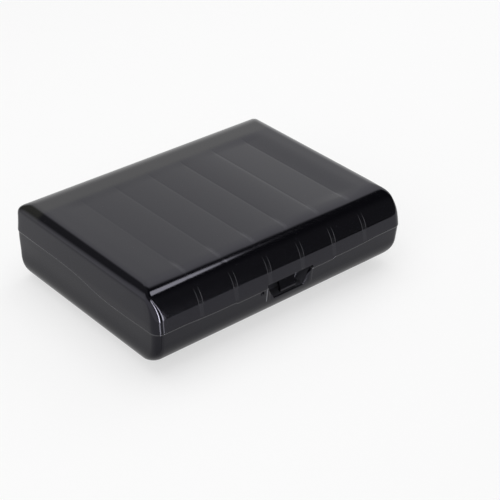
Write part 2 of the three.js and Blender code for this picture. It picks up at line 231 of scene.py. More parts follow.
# What polished faces mirror: directions in degrees, strengths as shares of white
REAR_PANEL = 0.885
REAR_PANEL_SIDES = (0, 17, 76, 84)
REAR_PANEL_TOP = (70.5, 78.5)
REAR_PANEL_SLANT = (48, 0.519)
REAR_PANEL_ALONG = (34, 54, 1.0, 1.28)
REAR_PANEL_UP = (24, 50, 0.97, 1.263)
LEFT_PANEL = 1.16
LEFT_PANEL_SIDES = (-153, -150, -46, -33)
LEFT_PANEL_TOP = (56, 64)
ROOM = 0.22
ROOM_DIP = (0.17, (20, 70))
ROOM_RISE = (0.11, (105, 130))
STRIPS = ((32.0, (-172, -171, -163, -162)), (18.0, (153, 154, 159, 160)))
STRIP_HEIGHTS = (-14, -12, 70, 76)
ROUND_LAMP = 6.5
ROUND_LAMP_PLACE = (89.8, 62.1)
ROUND_LAMP_EDGE = (4.7, 5.7)
TABLE_SHINE = 0.90
TABLE_SEEN = 0.62
CONTACT_HALF = (0.08, 0.06)
CONTACT_REACH = 0.022
CONTACT_DARK = (-0.085, -0.078, 0.6, 0.5)
UNDERSIDE_EDGE = (0.005, 0.014)
TABLE_FADE = (-0.226, -0.218)
FADE_CURVE = 0.05
FADE_CURVE_RISE = (0.05, 0.115)
FADE_CURVE_FALL = (0.17, 0.20, 1.0, 0.5)
TABLE_STREAKS = ((7.0, (-19, -17, -9, -7)), (4.0, (21, 23, 28, 30)))
STREAK_START = (0.034, 0.060)
TABLE_WEDGE = (-2, 3, 11, 17)
WEDGE_START = (-0.064, -0.060)
WEDGE_DARK = 0.35


# Settings that a user would change


class ShellSettings(bpy.types.PropertyGroup):
    length: FloatProperty(
        name="Length", description="Length of the case along X", default=0.16, min=0.05, unit="LENGTH")
    depth: FloatProperty(
        name="Depth", description="Depth of both shells along Y", default=0.118, min=0.05, unit="LENGTH")
    height: FloatProperty(
        name="Height", description="Height of the closed case", default=0.045, min=0.02, unit="LENGTH")
    parting: FloatProperty(
        name="Parting height", description="Height of the parting line at the front",
        default=0.0253, unit="LENGTH")
    wall: FloatProperty(
        name="Wall", description="Wall thickness of both shells", default=0.0022, unit="LENGTH")
    corner: FloatProperty(
        name="Corner radius", description="Upright corner radius", default=0.005, unit="LENGTH")
    crown: FloatProperty(
        name="Panel crown", description="Rise of each panel between two ribs",
        default=0.00022, unit="LENGTH")
    sunk: FloatProperty(
        name="Field depth", description="How far the ribbed field lies below the end bands",
        default=0.00012, unit="LENGTH")
    colour: FloatVectorProperty(
        name="Colour", description="Black of the shells", subtype="COLOR", size=3,
        default=(0.0012, 0.0012, 0.002))
    gloss: FloatProperty(
        name="Roughness", description="Roughness of the polished faces",
        default=0.07, min=0, max=1, subtype="FACTOR")


class BinSettings(bpy.types.PropertyGroup):
    corner: FloatProperty(
        name="Corner radius", description="Upright corner radius of a bin", default=0.0012, unit="LENGTH")
    rim: FloatProperty(name="Rim rounding", description="Rounding of the rim", default=0.0003, unit="LENGTH")
    bin_colour: FloatVectorProperty(
        name="Bin colour", description="White of the bins", subtype="COLOR", size=3,
        default=(0.70, 0.70, 0.68))
    divider_colour: FloatVectorProperty(
        name="Divider colour", description="Grey of the dividers", subtype="COLOR", size=3,
        default=(0.55, 0.57, 0.58))
    scoop_width: FloatProperty(
        name="Scoop width", description="Width of the finger scoop in a divider",
        default=0.009, unit="LENGTH")
    scoop_depth: FloatProperty(
        name="Scoop depth", description="Depth of the finger scoop in a divider",
        default=0.0022, unit="LENGTH")


class PinSettings(bpy.types.PropertyGroup):
    sides: IntProperty(name="Sides", description="Number of faces round a pin", default=32, min=12)
    chamfer: FloatProperty(
        name="Chamfer", description="Length of the domed pin ends", default=0.0004, unit="LENGTH")
    colour: FloatVectorProperty(
        name="Steel colour", description="Colour of the drawn steel", subtype="COLOR", size=3,
        default=(0.52, 0.53, 0.54))


class StudioSettings(bpy.types.PropertyGroup):
    azimuth: FloatProperty(
        name="Camera azimuth", description="Angle of the camera round the case",
        default=math.radians(-41.369), subtype="ANGLE")
    elevation: FloatProperty(
        name="Camera elevation", description="Angle of the camera above the table",
        default=math.radians(32.084), subtype="ANGLE")
    roll: FloatProperty(
        name="Camera roll", description="Tilt of the picture", default=math.radians(1.194), subtype="ANGLE")
    lens: FloatProperty(
        name="Focal length", description="Focal length in millimetres on a 36 mm sensor",
        default=102.66, min=1)
    front_edge: FloatProperty(
        name="Table front edge", description="Place of the table's front edge along Y",
        default=-0.216, unit="LENGTH")
    fill: FloatProperty(
        name="Fill light", description="Strength of the sky as fill light", default=0.4, min=0)
    lamp_power: FloatProperty(
        name="Lamp power", description="Power of the main soft lamp in watts", default=5.0, min=0)


def settings_of(context):
    scene = context.scene
    return scene.organizer_shell, scene.organizer_bin, scene.organizer_pin, scene.organizer_studio


# Smooth functions of number arrays


def smooth_step(low, high, value):
    share = np.clip((value - low) / (high - low), 0, 1)
    return share * share * (3 - 2 * share)


def smooth_max(a, b, blend):
    share = np.clip(0.5 + 0.5 * (a - b) / blend, 0, 1)
    return b + (a - b) * share + blend * share * (1 - share)


def smooth_min(a, b, blend):
    return -smooth_max(-a, -b, blend)


def soft_positive(value, spread):
    return 0.5 * (value + np.sqrt(value * value + spread * spread))


def curve_in(depth, height, distance):
    share = np.clip(1 - distance / height, 0, 1)
    return depth * (1 - np.sqrt(1 - share * share))


# The outer form of the case

WALLS = ("left", "right", "front", "rear")


class Wall:
    """One wall of the case: its lean and its roundings into the top and the underside."""

    def __init__(self, half, lean_start, leans, lid_rounding, base_rounding):
        self.half = half
        self.lean_start = lean_start
        self.lid_lean, self.base_lean = leans
        self.lid_rounding = lid_rounding
        self.base_rounding = base_rounding

    def reach(self, case, z, inset):
        """Distance of the wall's face from the middle of the case at a height."""
        lean = self.lid_lean * soft_positive(z - self.lean_start, LEAN_SPREAD)
        lean = lean + self.base_lean * soft_positive(case.parting - z, LEAN_SPREAD)
        result = self.half - inset - lean
        for rounding, distance in ((self.lid_rounding, case.height - inset - z), (self.base_rounding, z - inset)):
            depth = np.maximum(rounding[0] - inset, LEAST_ROUNDING)
            height = np.maximum(rounding[1] - inset, LEAST_ROUNDING)
            result = result - curve_in(depth, height, distance)
        return result


class Case:
    """The form that both shells, the bins and the dividers share."""

    def __init__(self, shell):
        self.height = shell.height / MM
        self.parting = shell.parting / MM
        self.wall = shell.wall / MM
        self.corner = shell.corner / MM
        self.crown = shell.crown / MM
        self.sunk = shell.sunk / MM
        rear_parting = self.parting + PARTING_RISE
        half_depth = shell.depth / MM / 2
        half_length = shell.length / MM / 2
        self.front = Wall(half_depth, self.parting, *FRONT_FORM)
        self.rear = Wall(half_depth, rear_parting, *REAR_FORM)
        self.end = Wall(half_length, rear_parting, *END_FORM)

    def parting_height(self, x, y):
        """Height of the parting surface, which drops a little at the middle of the front and climbs to its ends."""
        step = PARTING_RISE / (1 + np.exp(-(y - STEP_PLACE) / STEP_SPREAD))
        at_front = 1 - smooth_step(*CENTRE_DROP_END, y)
        middle = 1 - smooth_step(CENTRE_DROP_HALF - CENTRE_DROP_BLEND, CENTRE_DROP_HALF + CENTRE_DROP_BLEND, np.abs(x))
        climb = CLIMB * np.clip((np.abs(x) - CLIMB_START) / CLIMB_LENGTH, 0, 1) ** 2 * (1 - smooth_step(*CLIMB_END, y))
        return self.parting + step - CENTRE_DROP * middle * at_front + climb

    def sink(self, x, y, z):
        """How far the outside lies below its plain form, from the ribs behind it."""
        size = np.abs(x)
        bay = np.round(x / BAY_PITCH)
        panel = 2 * (x / BAY_PITCH - bay)
        bulge = self.crown * np.array(PANEL_SHARES)[np.clip(bay + BAYS // 2, 0, BAYS - 1).astype(int)]
        low = RIB_PLACES[-1]
        depth = self.sunk + self.crown
        tilt = END_PANEL_TILT * np.clip((x - END_PANEL_START) / (low - END_PANEL_START), 0, 1)
        inner = depth + tilt - bulge * 2 / 3
        waves = np.where(size < low, bulge * (panel * panel - 1 / 3), 0)
        share = np.clip((END_PANEL_LIMIT - size) / (END_PANEL_LIMIT - low), 0, 1)
        outer = (depth + tilt) * smooth_step(0, END_PANEL_EASE, share) / smooth_step(0, END_PANEL_EASE, 1)
        on_top = smooth_step(*BULGE_START, y)
        start = self.parting + RELIEF_LOW
        front = (depth - self.crown * FRONT_SHARE) * smooth_step(start, self.height - 1, z)
        field = front + (np.where(size < low, inner, outer) - front) * smooth_step(*FIELD_START, y) + waves * on_top
        gap = np.min([np.abs(x - rib) for rib in RIB_PLACES], axis=0)
        groove = SINK_GROOVE[0] * np.exp(-((gap / SINK_GROOVE[1]) ** 2)) * on_top
        shoulder = SINK_SHOULDER[0] * np.exp(-((gap / SINK_SHOULDER[1]) ** 4)) * smooth_step(-46, -53, y)
        fade = (1 - smooth_step(*FIELD_END, y)) * smooth_step(start, self.parting + RELIEF_FULL, z)
        return (field + groove + shoulder) * fade


def plan_row(axis, place, walls, normal):
    """A plan point: fixed x and y, weights of the left, right, front and rear walls, corner cosine and sine."""
    row = [0.0] * 6 + list(normal)
    row[axis] = place
    for wall, share in walls.items():
        row[2 + WALLS.index(wall)] = share
    return row


def side_rings(xs, ys, corner_steps=12, spread=(0.25, 0.5, 0.75)):
    """Plan points round the case, anticlockwise seen from above, as columns of plan rows."""
    sides = (
        ("front", 0, xs, (0, -1)), ("right", 1, ys, (1, 0)),
        ("rear", 0, xs[::-1], (0, 1)), ("left", 1, ys[::-1], (-1, 0)),
    )
    rows = []
    for index, (wall, axis, places, normal) in enumerate(sides):
        following, next_axis, next_places, next_normal = sides[(index + 1) % 4]
        rows += [plan_row(axis, place, {wall: 1}, normal) for place in places]
        for share in spread:
            rows.append(plan_row(axis, places[-1] * (1 - share), {wall: 1, following: share}, normal))
        for step in range(corner_steps + 1):
            angle = math.radians(90 * (index - 1) + 90 * step / corner_steps)
            rows.append(plan_row(0, 0, {wall: 1, following: 1}, (math.cos(angle), math.sin(angle))))
        for share in reversed(spread):
            rows.append(plan_row(next_axis, next_places[0] * (1 - share), {wall: share, following: 1}, next_normal))
    return np.array(rows).T


def place_ring(plan, radius, left, right, front, rear):
    """Puts plan points on a rounded rectangle between four faces."""
    fixed_x, fixed_y, on_left, on_right, on_front, on_rear, cosine, sine = plan
    x = fixed_x + on_left * (left + radius) + on_right * (right - radius) + radius * cosine
    y = fixed_y + on_front * (front + radius) + on_rear * (rear - radius) + radius * sine
    return x, y


def case_ring(case, plan, z, inset):
    climb = np.clip((z - case.parting) / (case.height - case.parting), 0, 1)
    radius = np.maximum(case.corner - CORNER_TAPER * climb ** 3 - inset, LEAST_ROUNDING)
    end = case.end.reach(case, z, inset)
    front = case.front.reach(case, z, inset)
    rear = case.rear.reach(case, z, inset)
    x, y = place_ring(plan, radius, -end, end, -front, rear)
    return np.stack([x, y, z + 0 * x], axis=1)


def notch_face(case, x, z, growth):
    """Place along Y of the notch's inside, seen from the front, or far in front where there is no notch."""
    x = x - NOTCH_PLACE
    inside = notch_backing(case, x, z, growth)
    share = np.clip(1 - growth / NOTCH_BACKING, 0, 1)
    return -case.front.half + inside + share * (notch_opening(case, x, z) - notch_backing(case, x, z, 0.0))


def notch_opening(case, x, z):
    """Depth of the notch's outside: a shallow recess that leans forward, and a pocket between slanted edges."""
    size = np.abs(x)
    drop = case.parting - z
    face = RECESS_LOW + (RECESS_TOP - RECESS_LOW) * (1 - drop / RECESS_FALL)
    slant = np.clip((drop - POCKET_START) / (POCKET_FALL - POCKET_START), 0, 1.2)
    edge = POCKET_TOP_HALF - (POCKET_TOP_HALF - POCKET_FLOOR_HALF) * slant
    pocket = np.minimum((edge - size) / POCKET_FLARE, (POCKET_FALL - drop) / POCKET_CLIMB)
    shallow = np.minimum((RECESS_HALF - size) / RECESS_LIP, face)
    return np.where(pocket > 0, np.minimum(face + pocket, NOTCH_DEPTH), shallow)


def notch_backing(case, x, z, growth):
    """Depth of the plain notch form, which the wall behind the opening and the bins follow."""
    flare = (NOTCH_HALF - NOTCH_FLOOR_HALF) / NOTCH_DEPTH
    climb = (NOTCH_HEIGHT - NOTCH_FLOOR_HEIGHT) / NOTCH_DEPTH
    side = (NOTCH_HALF + growth - np.abs(x)) / flare
    floor = (z - (case.parting - NOTCH_HEIGHT - growth)) / climb
    inside = smooth_min(side, floor, NOTCH_FLOOR_BLEND)
    return smooth_min(inside, NOTCH_DEPTH + growth, NOTCH_BACK_BLEND)


def with_notch(case, ring, growth):
    """Pushes the front of a ring back to the notch."""
    x, y, z = ring.T
    near = (y < 0) & (np.abs(x - NOTCH_PLACE) < NOTCH_HALF + growth + 4)
    pushed = smooth_max(y, notch_face(case, x, z, growth), NOTCH_BLEND)
    ring[:, 1] = np.where(near, pushed, y)
    return ring


# Meshes


def skin_rings(rings, first=0):
    """Faces between rings of equal length that follow each other."""
    count = len(rings[0])
    index = np.arange(count)
    following = np.roll(index, -1)
    faces = []
    for step in range(len(rings) - 1):
        low = first + step * count
        high = low + count
        quads = np.stack([low + index, low + following, high + following, high + index], axis=1)
        faces.extend(quads.tolist())
    return faces


def make_object(name, points, faces, merge=0.002):
    """A shaded mesh object from points in millimetres; points closer than the merge distance become one."""
    points = (np.asarray(points, float) + (0, BARREL_SHIFT, 0)) * MM
    mesh = bpy.data.meshes.new(name)
    mesh.from_pydata(points.tolist(), [], faces)
    work = bmesh.new()
    work.from_mesh(mesh)
    bmesh.ops.remove_doubles(work, verts=work.verts, dist=merge * MM)
    bmesh.ops.dissolve_degenerate(work, edges=work.edges, dist=1e-8)
    bmesh.ops.recalc_face_normals(work, faces=work.faces)
    work.to_mesh(mesh)
    work.free()
    item = bpy.data.objects.new(name, mesh)
    bpy.context.scene.collection.objects.link(item)
    shade(item)
    return item


def shade(item):
    item.data.shade_smooth()
    item.data.set_sharp_from_angle(angle=math.radians(SHARP_ANGLE))


def loft(name, rings, merge=0.002):
    """A closed body through rings, with a flat face over the first and the last."""
    count = len(rings[0])
    faces = skin_rings(rings)
    faces.append(list(range(count))[::-1])
    last = (len(rings) - 1) * count
    faces.append(list(range(last, last + count)))
    return make_object(name, np.concatenate(rings), faces, merge)


def side_plate(name, outline, low_x, high_x, chamfer=0.0):
    """An outline of y and z, carried along X, with chamfered ends."""
    outline = np.array(outline, float)
    middle = outline.mean(axis=0)
    rings = []
    places = [(low_x, chamfer), (low_x + chamfer, 0), (high_x - chamfer, 0), (high_x, chamfer)]
    if chamfer == 0:
        places = [(low_x, 0), (high_x, 0)]
    for x, inset in places:
        away = outline - middle
        drawn = outline - inset * away / np.linalg.norm(away, axis=1, keepdims=True)
        rings.append(np.column_stack([np.full(len(outline), x), drawn]))
    return loft(name, rings)


def round_bar(name, radius, low_x, high_x, sides=48):
    angles = np.linspace(0, 2 * math.pi, sides, endpoint=False)
    outline = np.column_stack([HINGE_Y + radius * np.cos(angles), HINGE_Z + radius * np.sin(angles)])
    return side_plate(name, outline, low_x, high_x)


def combine(item, tools, operation):
    """Joins the tool bodies to an object or cuts them from it, and removes them."""
    for tool in tools:
        modifier = item.modifiers.new(tool.name, "BOOLEAN")
        modifier.operation = operation
        modifier.object = tool
        modifier.solver = "MANIFOLD"
    apply_modifiers(item)
    for tool in tools:
        mesh = tool.data
        bpy.data.objects.remove(tool)
        bpy.data.meshes.remove(mesh)


def apply_modifiers(item):
    graph = bpy.context.evaluated_depsgraph_get()
    graph.update()
    mesh = bpy.data.meshes.new_from_object(item.evaluated_get(graph))
    old = item.data
    item.modifiers.clear()
    mesh.name = old.name
    item.data = mesh
    bpy.data.meshes.remove(old)


def spaced(low, high, step):
    return np.linspace(low, high, max(2, int(round((high - low) / step)) + 1))


def dense_places(low, high, step, spots):
    """Places from low to high, closer together within each spot (centre, half width, step)."""
    places = set(np.round(spaced(low, high, step), 4))
    for centre, half, fine in spots:
        places = {p for p in places if abs(p - centre) > half + 0.3 * step or p in (low, high)}
        places |= set(np.round(spaced(max(low, centre - half), min(high, centre + half), fine), 4))
    return sorted(places)


def lip_share(x, y):
    """1 where the lip and its rebate run, 0 along the hinges and the thumb notch."""
    rear = np.ones_like(x)
    for place in HINGE_PLACES:
        edge = ZONE_HALF + SIDE_GAP
        rear = rear * smooth_step(edge, edge + 0.5, np.abs(x - place))
    front = smooth_step(NOTCH_HALF + NOTCH_BACKING + 0.3, NOTCH_HALF + NOTCH_BACKING + 0.8, np.abs(x - NOTCH_PLACE))
    return np.where(y > 45, rear, np.where(y < -45, front, 1.0))


def grid_cap(ring, xs, ys, height, frames=6):
    """Points and faces of the flat top inside a ring: a grid of xs and ys and frame rings out to the ring."""
    columns, rows = len(xs), len(ys)
    grid_x, grid_y = np.meshgrid(xs, ys, indexing="ij")
    grid = np.stack([grid_x, grid_y, height(grid_x, grid_y)], axis=2).reshape(-1, 3)
    corner_run = (len(ring) - 2 * columns - 2 * rows) // 4

    def at(column, row):
        return column * rows + row

    runs = (
        [at(column, 0) for column in range(columns)],
        [at(columns - 1, row) for row in range(rows)],
        [at(column, rows - 1) for column in reversed(range(columns))],
        [at(0, row) for row in reversed(range(rows))],
    )
    targets = []
    for run in runs:
        targets += run + [run[-1]] * corner_run
    targets = np.array(targets)
    rings = []
    for step in range(1, frames):
        share = step / frames
        points = ring * (1 - share) + grid[targets] * share
        points[:, 2] = height(points[:, 0], points[:, 1])
        rings.append(points)
    return grid, targets, rings


def capped_shell(name, rings, xs, ys, height):
    """A shell from rings, closed by a fine grid over the first ring and a flat face over the last."""
    count = len(rings[0])
    grid, targets, frames = grid_cap(rings[0], xs, ys, height)
    chain = frames[::-1] + list(rings)
    points = [grid] + chain
    start = len(grid)
    faces = skin_rings(chain, start)
    columns, rows = len(xs), len(ys)
    for column in range(columns - 1):
        for row in range(rows - 1):
            a = column * rows + row
            faces.append([a, a + rows, a + rows + 1, a + 1])
    for index in range(count):
        following = (index + 1) % count
        corners = [start + index, start + following, int(targets[following]), int(targets[index])]
        faces.append(list(dict.fromkeys(corners)))
    last = start + (len(chain) - 1) * count
    faces.append(list(range(last, last + count)))
    return make_object(name, np.concatenate(points), faces)


def rounded_edge(steps=4):
    """Pairs of pull and height shares over a quarter circle."""
    angles = np.linspace(0, 90, steps + 1) * math.pi / 180
    return [(1 - math.cos(a), 1 - math.sin(a)) for a in angles]


# Shells


def shell_grid(step_x, reach_x, low_y, high_y, step_y, notch):
    """Places along X and Y of a shell's plan, closer at the notch lips and at the ribs or over the notch."""
    lips = [(NOTCH_PLACE + side * LIFT_HALF, 0.6, 0.08) for side in (-1, 1)]
    spots = [(rib, 1.6, 0.2) for rib in RIB_PLACES] + lips
    if notch:
        spots = [(NOTCH_PLACE, 17.0, 0.3)] + lips
    xs = dense_places(-reach_x, reach_x, step_x, spots)
    return xs, list(spaced(low_y, high_y, step_y))


def lid_parting(case, plan):
    """Height of the lid's edge at each plan point; it is lifted over the thumb notch."""
    ring = case_ring(case, plan, np.full(plan.shape[1], case.parting + 1), 0.0)
    x, y = ring[:, 0], ring[:, 1]
    lifted = LIFT_HEIGHT * (1 - smooth_step(LIFT_HALF, LIFT_HALF + 0.3, np.abs(x - NOTCH_PLACE))) * (y < -40)
    return case.parting_height(x, y) + PARTING_GAP + lifted, x, y


def build_lid(case):
    xs, ys = shell_grid(0.75, 65, -33, 41, 1.2, notch=False)
    plan = side_rings(xs, ys)
    rim, rim_x, rim_y = lid_parting(case, plan)
    lip = lip_share(rim_x, rim_y)
    rings = []
    for angle in np.linspace(0, math.pi / 2, 52):
        fall = 1 - math.cos(angle)
        z = case.height - (case.height - rim - LID_EDGE) * fall
        plain = case_ring(case, plan, z, 0.0)
        inset = case.sink(plain[:, 0], plain[:, 1], z)
        rings.append(case_ring(case, plan, z - inset * (1 - smooth_step(0, 0.25, fall)), inset))
    for pull, height in rounded_edge()[1:]:
        rings.append(case_ring(case, plan, rim + LID_EDGE * height, LID_EDGE * pull))
    inner = LIP_INSET - LIP_CLEARANCE
    rebate = (LIP_HEIGHT + LIP_CLEARANCE) * lip
    for pull, height in ((inner - 0.15, 0.0), (inner, 0.1), (inner, 1.0)):
        rings.append(case_ring(case, plan, rim + rebate * height, pull))
    rings.append(case_ring(case, plan, rim + rebate, case.wall))
    roof = case.height - case.wall
    for angle in np.linspace(math.pi / 2, 0, 18)[1:]:
        z = roof - (roof - rim - rebate) * (1 - math.cos(angle))
        rings.append(case_ring(case, plan, z, case.wall))

    def height(x, y):
        return case.height - case.sink(x, y, case.height + 0 * x)

    item = capped_shell("lid_shell_body", rings, xs, ys, height)
    tools = [rib(case, place, LID_RIB_DEPTH, True) for place in RIB_PLACES]
    combine(item, tools + [tongue(case)] + hinge_leaves(KNUCKLES, 1), "UNION")
    combine(item, hinge_rooms(EARS), "DIFFERENCE")
    shade(item)
    return item


def build_base(case):
    xs, ys = shell_grid(0.8, 61, -24, 44, 1.6, notch=True)
    plan = side_rings(xs, ys)
    level = case_ring(case, plan, np.full(plan.shape[1], case.parting), 0.0)
    rim = case.parting_height(level[:, 0], level[:, 1])
    lip = lip_share(level[:, 0], level[:, 1])
    growth_share = NOTCH_BACKING / case.wall
    low_shares = 0.56 * (1 - np.cos(np.linspace(0, math.pi / 2, 26)))
    runs = ((0.56, 0.8, 30), (0.8, 0.95, 8), (0.95, 1, 10))
    shares = np.concatenate([low_shares] + [np.linspace(low, high, count)[1:] for low, high, count in runs])
    rings = []
    for share in shares:
        z = (rim - BASE_EDGE) * share
        bead = RIM_BEAD * smooth_step(0, 0.95, rim - BASE_EDGE - z) * smooth_step(6, 20, z)
        rings.append(with_notch(case, case_ring(case, plan, z, bead), 0.0))
    for pull, height in rounded_edge()[1:]:
        ring = case_ring(case, plan, rim - BASE_EDGE * height, BASE_EDGE * pull)
        rings.append(with_notch(case, ring, BASE_EDGE * pull * growth_share))
    steps = (
        (LIP_INSET - 0.15, 0), (LIP_INSET, 0.05), (LIP_INSET, 0.9),
        (LIP_INSET + 0.2, 1), (case.wall - 0.2, 1), (case.wall, 0.9),
    )
    for pull, height in steps:
        ring = case_ring(case, plan, rim + LIP_HEIGHT * lip * height, pull)
        rings.append(with_notch(case, ring, pull * growth_share))
    for share in shares[::-1][::2]:
        z = case.wall + (rim - case.wall - 0.2) * share
        rings.append(with_notch(case, case_ring(case, plan, z, case.wall), NOTCH_BACKING))
    rings.append(case_ring(case, plan, case.wall + 0 * rim, case.wall))
    item = loft("base_shell_body", rings)
    tools = [rib(case, place, BASE_RIB_DEPTH, False) for place in RIB_PLACES]
    combine(item, tools + [snap_ridge(case)] + hinge_leaves(EARS, -1), "UNION")
    combine(item, hinge_rooms(KNUCKLES) + [gate_pit(case)], "DIFFERENCE")
    shade(item)
    return item


def profile(case, inset, over, steps=14):
    """Half of a rib's outline: under the roof and down the front, or over the floor and up the front and the rear."""
    eased = 1 - np.cos(np.linspace(math.pi / 2, 0, steps))
    if over:
        low, high = case.parting + LID_RIB_RIM_MARGIN, case.height - inset
        heights = high - (high - low) * eased
        rear = [(case.rear.half - LID_RIB_REAR_MARGIN, high)]
    else:
        heights = inset + (BASE_RIB_HEIGHT - inset) * eased
        rear = [(case.rear.reach(case, z, inset), z) for z in heights[::-1]]
    return [(-case.front.reach(case, z, inset), z) for z in heights] + rear


def rib(case, place, depth, over):
    """A rib of the lid or of the base, sunk a little into the wall behind it."""
    outline = profile(case, case.wall - FUSE, over) + profile(case, case.wall + depth, over)[::-1]
    return side_plate("rib", outline, place - RIB_WIDTH / 2, place + RIB_WIDTH / 2)


def tongue(case):
    """The snap tongue of the lid, which hangs in the notch."""
    low = case.parting - TONGUE_DROP
    root = case.parting + TONGUE_ROOT
    inside = -case.front.half + case.wall - FUSE
    bend = low + TONGUE_SLOPE_HEIGHT

    def front(z):
        return TONGUE_FACE + TONGUE_LEAN * min(max(z - low - TONGUE_FOOT, 0), TONGUE_SLOPE_HEIGHT - TONGUE_FOOT)

    def back(z):
        return front(z) + TONGUE_THICKNESS

    outline = [
        (front(low), low + TONGUE_FOOT), (front(low), low + 0.3),
        (front(low) + 0.1, low + 0.09), (front(low) + 0.3, low), (back(low) - 0.3, low),
        (back(low), low + 0.2), (back(low) + 0.5, low + 0.7), (back(low + 1.4), low + 1.4), (back(bend), bend),
        (back(bend), root), (inside, root + TONGUE_ROOT), (inside, root), (front(root), root - TONGUE_ROOT / 2),
        (front(bend), bend), (front(bend - 0.3), bend - 0.3),
        (front(low + TONGUE_FOOT + 0.25), low + TONGUE_FOOT + 0.25),
    ]
    return side_plate("tongue", outline, NOTCH_PLACE - TONGUE_HALF, NOTCH_PLACE + TONGUE_HALF)


def snap_ridge(case):
    """The ridge behind the tongue that its barb snaps past."""
    back = -case.front.half + NOTCH_DEPTH
    z = case.parting - RIDGE_DROP
    steps = ((FUSE, -0.5), (0, -0.5), (-0.22, -0.2), (-0.22, 0.2), (0, 0.5), (FUSE, 0.5))
    outline = [(back + out, z + up) for out, up in steps]
    return side_plate("ridge", outline, NOTCH_PLACE - TONGUE_HALF, NOTCH_PLACE + TONGUE_HALF)


def gate_pit(case):
    """The small pit that the moulding gate leaves beside the notch."""
    angles = np.linspace(0, 2 * math.pi, 20, endpoint=False)
    rings = []
    for y, size, lean in ((-2.0, 1.0, 0.0), (0.95, 0.96, 0.7), (0.97, 0.5, 0.36)):
        x = PIT_PLACE[0] + PIT_HALF[0] * size * np.cos(angles)
        z = PIT_PLACE[1] + PIT_HALF[1] * size * np.sin(angles)
        rings.append(np.column_stack([x, y - case.front.half + lean * np.sin(angles), z]))
    return loft("pit", rings)


def hinge_leaf(low_x, high_x, up):
    """A barrel round the pin, with a lug that runs into the wall above it or below it."""
    points = []
    for degrees in range(-180, 1, 10):
        angle = math.radians(degrees)
        points.append((BARREL_RADIUS * math.cos(angle), BARREL_RADIUS * math.sin(angle)))
    points += [(1.7, 0.9), (1.55, 1.55), (-0.1, 4.2), (-0.35, 4.5), (-1.5, 4.5), (-1.5, 0.6)]
    outline = [(HINGE_Y + y, HINGE_Z + up * z) for y, z in points]
    return side_plate("leaf", outline, low_x, high_x, 0.15)


def hinge_leaves(spans, up):
    return [hinge_leaf(place + low, place + high, up) for place in HINGE_PLACES for low, high in spans]


def hinge_rooms(spans):
    """Room for the pins, and for the barrels of the other shell."""
    rooms = []
    for place in HINGE_PLACES:
        reach = ZONE_HALF + 3
        rooms.append(round_bar("room", PIN_RADIUS + PIN_CLEARANCE, place - reach, place + reach, 32))
        for low, high in spans:
            radius = BARREL_RADIUS + BARREL_CLEARANCE
            rooms.append(round_bar("room", radius, place + low - SIDE_GAP, place + high + SIDE_GAP))
    return rooms


# Pins, bins and dividers


def build_pin(place, pin):
    radius, half, chamfer = PIN_RADIUS, ZONE_HALF, pin.chamfer / MM
    angles = np.linspace(0, 2 * math.pi, pin.sides, endpoint=False)
    rings = []
    dome = [(-half, 0.55)]
    for turn in (0.5, 1.0, math.pi / 2):
        dome.append((-half + chamfer * (1 - math.cos(turn)), 0.55 + 0.45 * math.sin(turn)))
    middle = [(x, 1.0) for x in np.linspace(-half + 2, half - 2, 7)]
    stations = dome + middle + [(-x, share) for x, share in dome[::-1]]
    for x, share in stations:
        y = HINGE_Y + radius * share * np.cos(angles)
        z = HINGE_Z + radius * share * np.sin(angles)
        rings.append(np.column_stack([np.full(pin.sides, place + x), y, z]))
    side = "left" if place < 0 else "right"
    return loft(f"hinge_pin_{side}_rod", rings)


def bin_ring(case, plan, centre, z, inset, half, radius, notch_growth, grooves=0.0):
    """A ring of a bin: the case's form drawn in, between the side walls of its bay."""
    reach = case.end.reach(case, z, inset)
    left = np.maximum(centre - half, -reach)
    right = np.minimum(centre + half, reach)
    front = case.front.reach(case, z, inset)
    rear = case.rear.reach(case, z, inset)
    x, y = place_ring(plan, radius, left, right, -front, rear)
    if grooves:
        cut = np.zeros_like(y)
        for place in DIVIDER_PLACES:
            cut = np.maximum(cut, 1 - smooth_step(GROOVE_HALF - 0.04, GROOVE_HALF + 0.04, np.abs(y - place)))
        limit = case.end.reach(case, z, inset - GROOVE_DEPTH)
        deep_left = np.maximum(left - grooves, -limit)
        deep_right = np.minimum(right + grooves, limit)
        x = x + cut * np.where(x < centre, deep_left - left, deep_right - right)
    ring = np.stack([x, y, z + 0 * x], axis=1)
    return with_notch(case, ring, notch_growth) if notch_growth else ring


